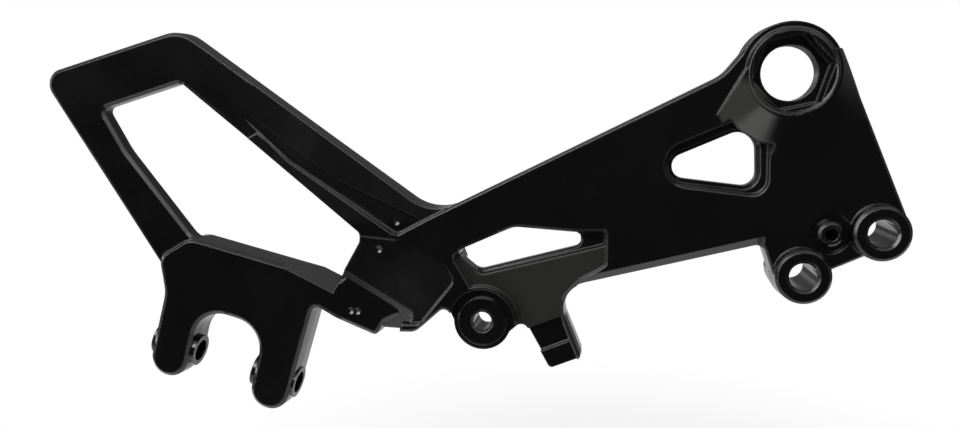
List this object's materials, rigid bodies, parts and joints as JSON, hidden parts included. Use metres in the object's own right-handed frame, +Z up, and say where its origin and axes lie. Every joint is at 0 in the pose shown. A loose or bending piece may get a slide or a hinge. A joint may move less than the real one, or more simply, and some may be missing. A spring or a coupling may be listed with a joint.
{
  "type": "footrest hanger",
  "caption": "Cast footrest hanger: a tapered beam with pivot and bolt bosses, a fork for a folding footrest and an open loop that guards the heel.",
  "frame": {"origin": "the centre of the pivot bore, at its inner end", "axes": "+Z up as fitted and in the picture, -Y towards the outer side of the hanger, which the picture shows, +X towards the frame bolts, -X towards the heel loop"},
  "size_m": [0.3056, 0.025, 0.1402],
  "materials": {
    "gloss_black_casting": "gloss black paint on a cast aluminium part"
  },
  "bodies": {
    "root": {"footrest_hanger": "gloss_black_casting"}
  },
  "joints": []
}
